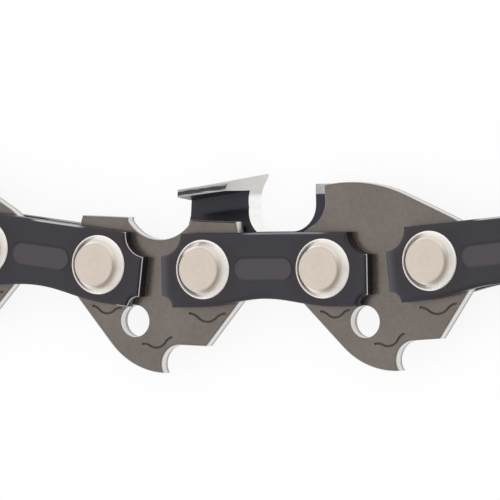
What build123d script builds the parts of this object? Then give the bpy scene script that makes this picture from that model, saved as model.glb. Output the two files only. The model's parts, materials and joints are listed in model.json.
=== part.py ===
"""Closed loop of low-profile chainsaw chain, lying on its side.

Every link is a separate body. Drive links (flat plates with a tang) alternate with side links
(a plate on each side, held by two rivets). One side link in two carries a cutter in place of one
plate, left and right by turns. The drive link in front of each cutter has a raised bumper.

Frame: origin on the surface that the chain lies on, below the middle of the loop. +Z is up, along
the rivets. +X is along the loop. The chain runs clockwise seen from above, with its tangs inwards.
Each link is drawn in its own frame: the rear rivet at the origin, the front rivet on +X, the
cutters' side on +Y, and the chain's middle plane at z = 0.
"""

import os
from math import asin, atan2, cos, degrees, radians, sin, sqrt, tan

from build123d import *

# Chain layout, in millimetres
DRIVE_LINKS = 28
PITCH = 9.31
DRIVE_PIN_SPACING = 8.73
KERF_WIDTH = 5.5

# Bend at each rivet of half the loop, in degrees. The other half repeats them.
WAIST_TURNS = (5.1, 2.7, 3.3, 1.9)
SIDE_PIVOTS = 5
SIDE_TURN = 3.0

# Plates
DRIVE_GAUGE = 1.1
STRAP_THICKNESS = 1.05
EDGE_BREAK = 0.1

# Rivets
BEARING_RADIUS = 1.6
HUB_RADIUS = 1.2
HEAD_RADIUS = 2.21
HEAD_HEIGHT = 0.74
HEAD_FLAT_RADIUS = 1.5
HEAD_LIP = 0.1
HEAD_DISH = 0.05
FLANK_BULGE = 0.06
RIM_WIDTH = 0.11
RIM_HEIGHT = 0.13
RIM_GROOVE = 0.06
SIDE_CLEARANCE = 0.06
BORE_CLEARANCE = 0.05
HUB_CLEARANCE = 0.02

# Drive links
DRIVE_END_RADIUS = 3.4
TANG_REAR_SLOPE = 48.5
TANG_FRONT_SLOPE = 52.0
TANG_SHOULDER_DEPTH = 5.85
TANG_TIP_X = 5.1
TANG_TIP_DEPTH = 7.87
RAKER_DEPTH = 5.72
HOOK_RADIUS = 1.45
HOOK_LEAN = 0.2
OIL_HOLE_RADIUS = 1.2
OIL_HOLE_X = 2.6
OIL_HOLE_DEPTH = 4.1
TAB_HEIGHT = 3.57
TAB_INNER_X = 1.8
TAB_OUTER_X = 2.05
TAB_FOOT_X = 2.35
NOTCH_FLOOR = 2.0
NOTCH_SHOULDER = 3.3
BUMPER_HEIGHT = 6.12
BUMPER_REAR_X = 0.0
BUMPER_SCOOP_RADIUS = 2.2
BUMPER_RAMP_SLOPE = 27.7
BUMPER_RAMP_X = 6.6

# Engraved wave strokes on a drive link: rear end x, rear end depth, heading, span
WAVE_STROKES = ((-1.0, 3.12, -1.0, 2.45), (3.24, 5.78, 14.0, 2.6), (7.1, 3.34, 2.0, 3.05))
WAVE_SWING = 44.0
WAVE_WIDTH = 0.17
WAVE_DEPTH = 0.12

# Tie straps
STRAP_TOP = 2.67
STRAP_FOOT = 2.8
STRAP_ARCH = 0.6
STRAP_OVERHANG = 3.55
STRAP_NOTCH_RADIUS = 1.65
STRAP_FOOT_NOTCH = 0.85
RECESS_LENGTH = 4.65
RECESS_WIDTH = 1.55
RECESS_DEPTH = 0.12

# Cutters
CUTTER_OVERHANG = 3.3
HEEL_X = -2.2
HEEL_SWEEP = 1.0
HEEL_LEAN = 4.0
HEEL_STEP = 0.6
HEEL_CORNER_ANGLE = 150.0
TOOTH_FRONT_X = 3.1
TOOTH_HEIGHT = 6.95
TOOTH_FRONT_TILT = 0.45
TOOTH_HEEL_TILT = 0.2
TOOTH_HEEL_DROP = 0.85
TOOTH_HEEL_RELIEF = 0.25
TOP_PLATE_REACH = 1.2
TOP_PLATE_THICKNESS = 0.56
TOP_PLATE_FOLD_THICKNESS = 0.95
TOOTH_WALL_THICKNESS = 1.3
TOOTH_ROOT_HEIGHT = 2.5
TOOTH_ROOT_SINK = 1.0
TOOTH_HEEL_BEND = 4.0
TOOTH_FRONT_BEND = 4.6
TOOTH_CORNER_RADIUS = 0.6
FILING_STOCK = 1.0
FILING_ANGLE = 16.0
FILE_RADIUS = 2.75
FILE_HEIGHT = 4.95
GULLET_FLOOR = 2.7
GULLET_RADIUS = 2.0
GAUGE_SETBACK = 1.6
GAUGE_HEIGHT = 6.19
GAUGE_FLAT = 1.3

# Sizes that follow from those above
SIDE_PIN_SPACING = 2 * PITCH - DRIVE_PIN_SPACING
LINKS = 2 * DRIVE_LINKS
PLATE_INNER = DRIVE_GAUGE / 2 + SIDE_CLEARANCE
PLATE_OUTER = PLATE_INNER + STRAP_THICKNESS


def polar(centre, radius, angle):
    """The point at an angle, in degrees, on a circle."""
    return (centre[0] + radius * cos(radians(angle)), centre[1] + radius * sin(radians(angle)))


def arc(centre, radius, start, end):
    """The arc of a circle from one angle to another, in degrees."""
    middle = (start + end) / 2
    return ThreePointArc(*(polar(centre, radius, a) for a in (start, middle, end)))


def outline(runs):
    """A flat face inside a closed outline of lines, polylines and arcs."""
    return make_face(Wire([edge for run in runs for edge in run.edges()]))


def plate(runs, bottom, top):
    """A flat plate with a closed outline, between two heights."""
    return extrude(Pos(0, 0, bottom) * outline(runs), amount=top - bottom)


def post(x, y, radius, bottom, top):
    """A round post along Z, for cutting holes."""
    return Pos(x, y, (bottom + top) / 2) * Cylinder(radius, top - bottom)


def broken_edges(body, z, size):
    """A plate with the edges of its flat face at height z chamfered."""
    face = [f for f in body.faces() if abs(f.center().Z - z) < 1e-6 and abs(f.normal_at().Z) > 0.99]
    return chamfer(max(face, key=lambda f: f.area).outer_wire().edges(), size)


def wave_stroke(x, depth, heading, span):
    """An engraving tool shaped as one wave, which dips, rises and levels off in three arcs."""
    radius = span / (4 * sin(radians(WAVE_SWING)))
    edges, at, tangent = [], Vector(x, -depth), Vector(1, 0).rotate(Axis.Z, heading)
    for sweep in (-WAVE_SWING, 2 * WAVE_SWING, -WAVE_SWING):
        edges.append(JernArc(at, tangent, radius, sweep))
        at, tangent = edges[-1] @ 1, edges[-1] % 1
    stroke = trace(edges, line_width=WAVE_WIDTH)
    return extrude(Pos(0, 0, DRIVE_GAUGE / 2 - WAVE_DEPTH) * stroke, amount=2 * WAVE_DEPTH)


def tang_edges():
    """The lower half of a drive link's outline, from the front end arc round to the rear one."""
    front_top = polar((DRIVE_PIN_SPACING, 0), DRIVE_END_RADIUS, TANG_FRONT_SLOPE - 90)
    rear_top = polar((0, 0), DRIVE_END_RADIUS, -90 - TANG_REAR_SLOPE)
    corner_x = front_top[0] - (RAKER_DEPTH + front_top[1]) / tan(radians(TANG_FRONT_SLOPE))
    shoulder_x = rear_top[0] + (TANG_SHOULDER_DEPTH + rear_top[1]) / tan(radians(TANG_REAR_SLOPE))
    corner, shoulder = (corner_x, -RAKER_DEPTH), (shoulder_x, -TANG_SHOULDER_DEPTH)
    tip = (TANG_TIP_X, -TANG_TIP_DEPTH)
    hook_side = (TANG_TIP_X - HOOK_LEAN, -RAKER_DEPTH - HOOK_RADIUS)
    hook = (hook_side[0] + HOOK_RADIUS, hook_side[1])
    slide = (cos(radians(TANG_REAR_SLOPE)), -sin(radians(TANG_REAR_SLOPE)))
    return [
        Line(front_top, corner),
        Line(corner, polar(hook, HOOK_RADIUS, 90)),
        arc(hook, HOOK_RADIUS, 90, 180),
        TangentArc(hook_side, tip, tangent=(0, -1)),
        TangentArc(shoulder, tip, tangent=slide),
        Line(shoulder, rear_top),
    ]


def drive_link(top_edges, rear_angle, front_angle):
    """A drive link: the shared tang, end arcs up to the given angles, and its own top edges."""
    edges = tang_edges() + [
        arc((0, 0), DRIVE_END_RADIUS, -90 - TANG_REAR_SLOPE + 360, rear_angle),
        *top_edges,
        arc((DRIVE_PIN_SPACING, 0), DRIVE_END_RADIUS, front_angle, TANG_FRONT_SLOPE - 90),
    ]
    half = DRIVE_GAUGE / 2
    body = plate(edges, -half, half)
    body = broken_edges(broken_edges(body, half, EDGE_BREAK), -half, EDGE_BREAK)
    for x in (0, DRIVE_PIN_SPACING):
        body -= post(x, 0, BEARING_RADIUS + BORE_CLEARANCE, -DRIVE_GAUGE, DRIVE_GAUGE)
    body -= post(OIL_HOLE_X, -OIL_HOLE_DEPTH, OIL_HOLE_RADIUS, -DRIVE_GAUGE, DRIVE_GAUGE)
    for stroke in WAVE_STROKES:
        body -= wave_stroke(*stroke)
    return body


def plain_drive_link():
    """A drive link with two tabs and a round notch between them, under the cutter's heel."""
    spacing, middle = DRIVE_PIN_SPACING, DRIVE_PIN_SPACING / 2
    foot_y = sqrt(DRIVE_END_RADIUS**2 - TAB_FOOT_X**2)
    foot_angle = degrees(atan2(foot_y, -TAB_FOOT_X))
    rear = [(-TAB_FOOT_X, foot_y), (-TAB_OUTER_X, TAB_HEIGHT), (TAB_INNER_X, TAB_HEIGHT)]
    rear.append((TAB_INNER_X, NOTCH_SHOULDER))
    front = [(spacing - x, y) for x, y in reversed(rear)]
    top = [Line(a, b) for a, b in zip(rear, rear[1:])]
    top.append(ThreePointArc(rear[-1], (middle, NOTCH_FLOOR), front[0]))
    top += [Line(a, b) for a, b in zip(front, front[1:])]
    return drive_link(top, foot_angle, 180 - foot_angle)


def bumper_drive_link():
    """A drive link with a bumper: a scooped rear edge, a crowned top and a long ramp in front."""
    front = (DRIVE_PIN_SPACING, 0)
    scoop_reach = DRIVE_END_RADIUS + BUMPER_SCOOP_RADIUS
    scoop_x = BUMPER_REAR_X - BUMPER_SCOOP_RADIUS
    scoop = (scoop_x, sqrt(scoop_reach**2 - scoop_x**2))
    scoop_angle = degrees(atan2(scoop[1], scoop[0]))
    ramp_angle = 90 - BUMPER_RAMP_SLOPE
    ramp_foot = polar(front, DRIVE_END_RADIUS, ramp_angle)
    ramp_rise = (ramp_foot[0] - BUMPER_RAMP_X) * tan(radians(BUMPER_RAMP_SLOPE))
    ramp_top = (BUMPER_RAMP_X, ramp_foot[1] + ramp_rise)
    rear_top = (BUMPER_REAR_X, BUMPER_HEIGHT)
    down_ramp = (-cos(radians(BUMPER_RAMP_SLOPE)), sin(radians(BUMPER_RAMP_SLOPE)))
    top = [
        arc(scoop, BUMPER_SCOOP_RADIUS, scoop_angle - 180, 0),
        Line((BUMPER_REAR_X, scoop[1]), rear_top),
        TangentArc(ramp_top, rear_top, tangent=down_ramp),
        Line(ramp_top, ramp_foot),
    ]
    return drive_link(top, scoop_angle, ramp_angle)


def strap_foot_edges(end_x):
    """The arched bottom edge of a side plate, between points end_x beyond each rivet."""
    middle = (SIDE_PIN_SPACING / 2, STRAP_ARCH - STRAP_FOOT)
    return ThreePointArc((-end_x, -STRAP_FOOT), middle, (SIDE_PIN_SPACING + end_x, -STRAP_FOOT))


def rivet_holes(body):
    """A side plate with the two holes that the rivets' hubs pass through."""
    for x in (0, SIDE_PIN_SPACING):
        body -= post(x, 0, HUB_RADIUS + HUB_CLEARANCE, 0, KERF_WIDTH)
    return body


def tie_strap():
    """The upper tie strap: notched corners, an arched foot and a shallow slot outside."""
    reach, middle = STRAP_OVERHANG, SIDE_PIN_SPACING / 2
    notch, foot_notch = STRAP_NOTCH_RADIUS, STRAP_FOOT_NOTCH
    right, left = SIDE_PIN_SPACING + reach, -reach
    edges = [
        Line((left + notch, STRAP_TOP), (right - notch, STRAP_TOP)),
        arc((right, STRAP_TOP), notch, 180, 270),
        Line((right, STRAP_TOP - notch), (right, foot_notch - STRAP_FOOT)),
        arc((right, -STRAP_FOOT), foot_notch, 90, 180),
        strap_foot_edges(reach - foot_notch),
        arc((left, -STRAP_FOOT), foot_notch, 0, 90),
        Line((left, foot_notch - STRAP_FOOT), (left, STRAP_TOP - notch)),
        arc((left, STRAP_TOP), notch, 270, 360),
    ]
    body = broken_edges(plate(edges, PLATE_INNER, PLATE_OUTER), PLATE_OUTER, EDGE_BREAK)
    slot = Pos(middle, 0, PLATE_OUTER) * SlotOverall(RECESS_LENGTH, RECESS_WIDTH)
    body -= extrude(slot, amount=-RECESS_DEPTH, taper=45)
    return rivet_holes(body)


def rivet():
    """A rivet: a thick bearing for the drive link, two hubs and two dished heads."""
    crown, rim = PLATE_OUTER + HEAD_HEIGHT, PLATE_OUTER + RIM_HEIGHT
    rim_x, lip_x = HEAD_RADIUS - RIM_WIDTH, HEAD_FLAT_RADIUS - HEAD_LIP
    groove = (rim_x - RIM_GROOVE, PLATE_OUTER + RIM_GROOVE)
    flank_x, flank_z = (groove[0] + HEAD_FLAT_RADIUS) / 2, (groove[1] + crown) / 2
    flank = (flank_x + FLANK_BULGE, flank_z + FLANK_BULGE)
    shaft = [(BEARING_RADIUS, 0), (BEARING_RADIUS, PLATE_INNER), (HUB_RADIUS, PLATE_INNER)]
    head = [(HUB_RADIUS, PLATE_OUTER), (HEAD_RADIUS, PLATE_OUTER), (HEAD_RADIUS, rim), (rim_x, rim), groove]
    edges = [
        Polyline((0, 0), *shaft, *head),
        ThreePointArc(groove, flank, (HEAD_FLAT_RADIUS, crown)),
        Polyline((HEAD_FLAT_RADIUS, crown), (lip_x, crown), (0, crown - HEAD_DISH), (0, 0)),
    ]
    half = revolve(Plane.XZ * outline(edges), Axis.Z)
    return half + mirror(half, about=Plane.XY)


def tooth_section(x, share):
    """The folded plate of a tooth, cut across the chain at x, a share of the way from heel to front."""
    relief = (1 - share) * TOOTH_HEEL_RELIEF
    tilt = (1 - share) * TOOTH_HEEL_TILT + share * TOOTH_FRONT_TILT
    outer, thick = KERF_WIDTH / 2 - relief, TOOTH_WALL_THICKNESS
    radius, inner = TOOTH_CORNER_RADIUS, outer - thick
    top = TOOTH_HEIGHT - (1 - share) * TOOTH_HEEL_DROP
    near = top - tilt
    bend = (1 - share) * TOOTH_HEEL_BEND + share * TOOTH_FRONT_BEND
    root, sunk = TOOTH_ROOT_HEIGHT, TOOTH_ROOT_HEIGHT - TOOTH_ROOT_SINK
    slope = tilt / (outer + TOP_PLATE_REACH)
    shoulder = (top - slope * radius, outer - radius)
    side = (top - radius, outer)
    around = ThreePointArc(shoulder, polar((top - radius, outer - radius), radius, 45), side)
    inside = [(sunk, PLATE_INNER), (root, PLATE_INNER), (bend, inner)]
    inside.append((top - TOP_PLATE_FOLD_THICKNESS - slope * thick, inner))
    inside.append((near - TOP_PLATE_THICKNESS, -TOP_PLATE_REACH))
    inside += [(near, -TOP_PLATE_REACH), shoulder]
    outside = [side, (bend, outer), (root, PLATE_OUTER), (sunk, PLATE_OUTER), (sunk, PLATE_INNER)]
    return Plane.YZ.offset(x) * outline([Polyline(*inside), around, Polyline(*outside)])


def tooth():
    """The tooth of a right-hand cutter, cut off behind and hollow ground in front at the filing angle."""
    past = FILING_STOCK / (TOOTH_FRONT_X - HEEL_X)
    rear = tooth_section(HEEL_X - FILING_STOCK, -past)
    front = tooth_section(TOOTH_FRONT_X + FILING_STOCK, 1 + past)
    corner = Pos(HEEL_X, TOOTH_HEIGHT - TOOTH_HEEL_DROP, -TOP_PLATE_REACH)
    behind = Pos(-2 * TOOTH_HEIGHT, 0, 0) * Box(4 * TOOTH_HEIGHT, 4 * TOOTH_HEIGHT, 4 * KERF_WIDTH)
    body = loft([rear, front], ruled=True) - corner * Rot(0, -HEEL_SWEEP, -HEEL_LEAN) * behind
    rise = TOOTH_HEIGHT - TOOTH_CORNER_RADIUS - FILE_HEIGHT
    gap = sqrt(FILE_RADIUS**2 - rise**2) / cos(radians(FILING_ANGLE))
    file_at = Pos(TOOTH_FRONT_X + gap, FILE_HEIGHT, KERF_WIDTH / 2) * Rot(0, FILING_ANGLE, 0)
    return body - file_at * Cylinder(FILE_RADIUS, 6 * KERF_WIDTH)


def right_cutter():
    """A right-hand cutter, on the upper side: a chassis plate, a folded tooth and a depth gauge."""
    spacing, reach = SIDE_PIN_SPACING, CUTTER_OVERHANG
    front = (spacing, 0)
    foot_angle = degrees(asin(STRAP_FOOT / reach))
    gauge_x = spacing - GAUGE_SETBACK
    gullet = (gauge_x - GULLET_RADIUS, GULLET_FLOOR + GULLET_RADIUS)
    crest = (gauge_x + GAUGE_FLAT, GAUGE_HEIGHT)
    span = sqrt((crest[0] - spacing) ** 2 + crest[1] ** 2)
    ramp_angle = degrees(atan2(crest[1], crest[0] - spacing) - asin(sqrt(1 - (reach / span) ** 2)))
    heel = polar((0, 0), reach, HEEL_CORNER_ANGLE)
    heel_top = (HEEL_X - HEEL_STEP, GULLET_FLOOR)
    edges = [
        strap_foot_edges(sqrt(reach**2 - STRAP_FOOT**2)),
        arc(front, reach, -foot_angle, ramp_angle),
        Line(polar(front, reach, ramp_angle), crest),
        Line(crest, (gauge_x, GAUGE_HEIGHT)),
        Line((gauge_x, GAUGE_HEIGHT), (gauge_x, gullet[1])),
        arc(gullet, GULLET_RADIUS, 0, -90),
        Line((gullet[0], GULLET_FLOOR), heel_top),
        Line(heel_top, heel),
        arc((0, 0), reach, HEEL_CORNER_ANGLE, 180 + foot_angle),
    ]
    return rivet_holes(plate(edges, PLATE_INNER, PLATE_OUTER) + tooth())


def half_loop_turns():
    """Turn at each rivet over half the loop, anticlockwise positive, with the waist in the middle."""
    straight = [-SIDE_TURN] * SIDE_PIVOTS
    end_pivots = (DRIVE_LINKS - len(WAIST_TURNS)) // 2 - SIDE_PIVOTS
    end_turn = (180 + sum(WAIST_TURNS) - 2 * SIDE_PIVOTS * SIDE_TURN) / (2 * end_pivots)
    end = [-end_turn] * end_pivots
    return end + straight + list(WAIST_TURNS) + straight + end


def loop_places():
    """Place of every link: its rear rivet and heading, starting at the cutter in the waist."""
    turns = half_loop_turns()
    first = DRIVE_LINKS // 2 - 1
    places, x, y, heading = [], 0, 0, 0
    for i in range(LINKS):
        places.append((x, y, heading))
        length = SIDE_PIN_SPACING if i % 2 == 0 else DRIVE_PIN_SPACING
        x += length * cos(radians(heading))
        y += length * sin(radians(heading))
        heading += turns[(i + 1 + first) % DRIVE_LINKS]
    middle_x, middle_y = places[DRIVE_LINKS][0] / 2, places[DRIVE_LINKS][1] / 2
    return [(x - middle_x, y - middle_y, heading) for x, y, heading in places]


def link_kinds():
    """The four kinds of link in running order, each as a name and its pieces, over two cutters."""
    strap, pin, cutter = tie_strap(), rivet(), right_cutter()
    pins = [pin, Pos(SIDE_PIN_SPACING, 0, 0) * pin]
    lower_strap, left_cutter = mirror(strap, about=Plane.XY), mirror(cutter, about=Plane.XY)
    bumper, plain = [bumper_drive_link()], [plain_drive_link()]
    ties = [strap, lower_strap, *pins]
    left = ("left_cutter_link", [left_cutter, strap, *pins])
    right = ("right_cutter_link", [cutter, lower_strap, *pins])
    common = [("bumper_drive_link", bumper), ("tie_strap_link", ties), ("plain_drive_link", plain)]
    return [left, *common, right, *common]


def main():
    """Build each kind of link once, place it round the loop and write a STEP file per link."""
    os.makedirs("parts", exist_ok=True)
    kinds = link_kinds()
    for i, (x, y, heading) in enumerate(loop_places()):
        kind, pieces = kinds[i % len(kinds)]
        name = f"{kind}_{i // 4 + 1:02d}"
        place = Pos(x, y, KERF_WIDTH / 2) * Rot(0, 0, heading)
        link = Compound(label=name, children=[place * piece for piece in pieces])
        export_step(link, f"parts/{name}.step")


if __name__ == "__main__":
    main()
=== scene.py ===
"""Finishes and studio for a closed loop of low-profile saw chain, laid out as a Blender add-on.

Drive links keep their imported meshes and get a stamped-steel finish. Every side link is dressed with
its separate pieces: two rivets and two tie straps, or a tie strap and a cutter. Lengths inside the
shape functions are millimetres in the link's own frame: the rear rivet at the origin, the front
rivet on +X, the cutters' side on +Y and the chain's middle plane at z = 0.
"""

import json
from math import cos, radians, sin, sqrt

import bpy
import numpy as np
from bpy.props import FloatProperty, FloatVectorProperty, PointerProperty
from mathutils import Matrix, Vector


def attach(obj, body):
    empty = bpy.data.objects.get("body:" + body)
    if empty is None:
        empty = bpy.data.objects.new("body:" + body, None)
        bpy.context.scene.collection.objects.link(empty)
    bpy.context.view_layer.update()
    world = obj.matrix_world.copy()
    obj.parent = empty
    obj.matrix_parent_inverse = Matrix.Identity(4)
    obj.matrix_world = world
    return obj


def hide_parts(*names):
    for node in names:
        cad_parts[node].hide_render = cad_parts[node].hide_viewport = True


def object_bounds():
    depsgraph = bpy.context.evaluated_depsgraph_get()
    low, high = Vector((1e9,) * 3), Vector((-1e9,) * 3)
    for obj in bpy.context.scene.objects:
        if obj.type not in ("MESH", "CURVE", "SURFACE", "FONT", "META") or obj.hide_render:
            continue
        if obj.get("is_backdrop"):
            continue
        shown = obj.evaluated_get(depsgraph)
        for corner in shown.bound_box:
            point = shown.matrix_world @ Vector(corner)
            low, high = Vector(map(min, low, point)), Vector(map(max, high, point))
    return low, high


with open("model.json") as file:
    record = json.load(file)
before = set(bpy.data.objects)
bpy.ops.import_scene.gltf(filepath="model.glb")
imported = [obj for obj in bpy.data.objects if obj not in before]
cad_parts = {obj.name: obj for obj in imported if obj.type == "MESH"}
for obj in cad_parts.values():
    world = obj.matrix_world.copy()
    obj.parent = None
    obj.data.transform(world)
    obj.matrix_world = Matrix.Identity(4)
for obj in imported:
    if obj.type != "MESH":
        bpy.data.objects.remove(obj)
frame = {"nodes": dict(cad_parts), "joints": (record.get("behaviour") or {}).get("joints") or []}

CAD_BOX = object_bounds()

bl_info = {
    "name": "Saw chain loop",
    "version": (1, 0, 0),
    "blender": (4, 5, 0),
    "location": "3D View > Sidebar > Saw chain",
    "description": "Dresses the links of a saw chain loop and lights them in a white studio",
    "category": "Object",
}

MM = 0.001
LINK_ORDER = {
    "left_cutter_link": 0,
    "right_cutter_link": 0,
    "bumper_drive_link": 1,
    "tie_strap_link": 2,
    "plain_drive_link": 3,
}
LINKS_PER_CUTTER = 4
SHARP_ANGLE = radians(30)
SHADE_BLACK = (0, 0, 0)

# Points along each run of a strap's outline, and steps of its rolled edge and of its slot's slope
ARCH_POINTS = 41
FOOT_NOTCH_POINTS = 7
NOTCH_POINTS = 11
TOP_EDGE_POINTS = 29
CORNER_POINTS = 4
ROLL_STEPS = 0.2, 0.4, 0.6, 0.8, 1
SLOT_STEPS = -0.2, 0, 0.2, 0.4, 0.6, 0.8, 1, 1.2

# Least cosine that an inset is divided by, which keeps its points from running away
LEAST_COSINE = 0.4

# Points along each run of a rivet's profile, parts of its rim's width and height, and its flank's form
RIM_POINTS = 7
FLANK_POINTS = 24
CROWN_POINTS = 9
RIM_UNDERCUT = 0.25
RIM_FOOT = 0.2
FLANK_POWER = 1.12
FLANK_RINGS = 3

# Floor, lamp and camera, in metres apart from the camera's sensor
FLOOR_REACH = 3.0
FLOOR_GLOW = 0.87
LAMP_WIDTH = 1.2
LAMP_PLACE = Vector((-0.25, 0.3, 0.7))
SENSOR_WIDTH = 36

# The dim gap beside the overhead panel: a ring round the panel's middle, fading towards -X and +Y
PANEL_MIDDLE = Vector((-0.29, -0.05, 0.956))
GAP_INSIDE = radians(24), radians(38)
GAP_OUTSIDE = radians(85), radians(55)
GAP_ALONG = -0.45, -0.05
GAP_ACROSS = 0.75, -0.3
GAP_LIGHT = 0.24, 0.19, 0.16

# Heights on a drive link from its middle plane, in millimetres
SHEARED_END = -0.05
TORN_START = -0.3
ENGRAVING_FLOOR = 0.5

# How far a surface faces up, from 0 on a wall to 1 on a level face: faces, walls and rounded edges
FLAT_LEVEL = 0.95
WALL_LEVEL = 0.95, 0.3
STRAP_WALL_LEVEL = 0.4, 0.2
ROUNDED_LEVEL = 0.1, 0.3
FRONT_ROLL_LEVEL = 0.79, 0.76
TOP_ROLL_LEVEL = 0.89, 0.85

# Where the bright stretch of a strap's top edge starts and ends, in millimetres along its link, how
# far it is brightened, and how far the notches at its front are: on tie-strap links and cutter links.
# The bright edges are partly wear and partly painted highlight
STRAP_WEAR_AND_HIGHLIGHT = (4.1, 8.0, 0.8, 1.0), (3.5, 9.9, 0.3, 0.0)

# Finish of a strap, in millimetres: distances between which a tint fades, and shares of a tint.
# The line round the slot and the darker walls are painted shade, the paler rear end is a painted
# sheen and the lighter slot is a painted reflection
WARM_RING = 3.4, 2.4
SLOT_EDGE = 0.1
SLOT_SHADE_LINE = 0.14, 0.02
SLOT_SHADE_START = 0.3
SHADE_LINE_ABOVE = 0.5
REAR_SHEEN = 0.9, -0.1
REAR_SHEEN_SHARE = 0.8
WALL_PAINTED_SHADE = 0.4
FRONT_WEAR_AND_HIGHLIGHT = 0.2, 0.1
NOTCH_FADE = 0.3
TOP_WEAR_AND_HIGHLIGHT = 0.3, 0.2
STRETCH_FADE = 0.5

# Finish of a rivet head: distances in millimetres from its flat top's edge or its axis, the way that
# its arc of painted shade lies and the share of that shade. The crown's band and the flank towards
# the rim take a painted highlight, and the groove inside the rim takes painted shade towards the rear
FLAT_EDGE = 0.04
CROWN_EDGE = 0.06
CROWN_HIGHLIGHT_BAND = 0.09, 0.03
CROWN_HIGHLIGHT_REAR = 0.4, -0.8
FLANK_HIGHLIGHT = 0.2
SHADE_ARC_WAY = 0.85, -0.5
SHADE_ARC_BAND = 0.28, 0.02
SHADE_ARC_FRONT = 0.5, 1.6
SHADE_ARC_SHARE = 0.75
GROOVE_FADE = 0.02, -0.02
GROOVE_REAR = 0.3, -1.0
FLANK_BLUR = 0.4

# The tooth in its link's frame, in millimetres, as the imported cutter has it
FILING_ANGLE = radians(16)
FILE_RADIUS = 2.75
FILE_HEIGHT = 4.95
TOOTH_HEEL = -2.2
TOOTH_FRONT = 3.1
TOOTH_CORNER = 6.35
WORKING_SIDE = 2.75
TOOTH_ROOT = 2.9
TOP_PLATE_UNDERSIDE = 5.2
INNER_EDGE_HEEL = 5.9
INNER_EDGE_FRONT = 6.5
INNER_EDGE_HEIGHT = 0.56
GAUGE_TIP = 5.4

# Finish of a cutter, in millimetres in its link's frame: where tints start and are full; the
# darker tint low inside the tooth is painted shade
GAUGE_TIP_EDGE = 0.12
SHADE_HEIGHT = 4.5, 3.3
SHADE_FRONT = 4.0, 3.4
GROUND_TOP_EDGE = 0.4

# Dark band on the top plate's inner edge, in parts of the edge's height: its wander, start and end
EDGE_WANDER = 0.25
EDGE_BAND_START = 0.15, 0.35
EDGE_BAND_END = 0.85, 0.7

# How a triangle of the tooth is known: distances in millimetres and parts of its normal
GROUND_NEAR = 0.01
TOOTH_REACH = 1.0
OUTSIDE_FROM = 1.5
INNER_EDGE_FROM = -1.0
FACING_OUT = 0.3
FACING_TOP = 0.6
FACING_IN = -0.9


def length(name, description, millimetres):
    """A length that the user can set, given here in millimetres."""
    return FloatProperty(
        name=name, description=description, default=millimetres * MM, unit="LENGTH", precision=5
    )


def colour(name, description, value):
    """A colour that the user can set."""
    return FloatVectorProperty(
        name=name, description=description, default=value, size=3, min=0, max=1, subtype="COLOR"
    )


class ChainSizes(bpy.types.PropertyGroup):
    """Sizes of the dressed pieces."""

    plate_inner: length("Plate inside", "Middle plane to the inside of a side plate", 0.61)
    plate_outer: length("Plate outside", "Middle plane to the outside of a side plate", 1.66)
    roll_width: length("Roll width", "Width over which a tie strap's outer edge rolls down", 0.45)
    roll_depth: length("Roll depth", "Depth to which a tie strap's outer edge rolls down", 0.14)
    edge_round: length("Edge round", "Rounding between the rolled edge and the wall", 0.1)
    strap_top: length("Strap top", "Rivet axis to the strap's top edge", 2.67)
    strap_foot: length("Strap foot", "Rivet axis to the strap's feet", 2.8)
    strap_arch: length("Strap arch", "Rise of the arch between the strap's feet", 0.6)
    arch_reach: length("Arch reach", "Middle of the strap to where its arch meets a foot", 5.6)
    strap_overhang: length("Strap overhang", "Rivet axis to the strap's end", 3.55)
    strap_notch: length("Strap notch", "Radius of the notch in each top corner", 1.65)
    foot_notch: length("Foot notch", "Radius of the notch in each foot", 0.85)
    recess_length: length("Recess length", "Length of the pressed slot", 4.65)
    recess_width: length("Recess width", "Width of the pressed slot", 1.55)
    recess_depth: length("Recess depth", "Depth of the pressed slot", 0.06)
    recess_slope: length("Recess slope", "Width of the slope round the pressed slot", 0.36)
    bearing_radius: length("Bearing radius", "Rivet inside the drive link", 1.6)
    hub_radius: length("Hub radius", "Rivet inside the side plates", 1.2)
    head_radius: length("Head radius", "Rivet head over its rim", 2.21)
    head_height: length("Head height", "Rivet head above the side plate", 0.74)
    head_flat: length("Head flat", "Radius of the head's flat top", 1.6)
    head_dish: length("Head dish", "Hollow in the head's flat top", 0.015)
    flank_ripple: length("Flank ripple", "Height of the rings that the riveting tool leaves", 0.002)
    rim_width: length("Rim width", "Width of the head's rim", 0.11)
    rim_height: length("Rim height", "Height of the head's rim", 0.13)
    rim_groove: length("Rim groove", "Width and depth of the groove inside the head's rim", 0.015)


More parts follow.
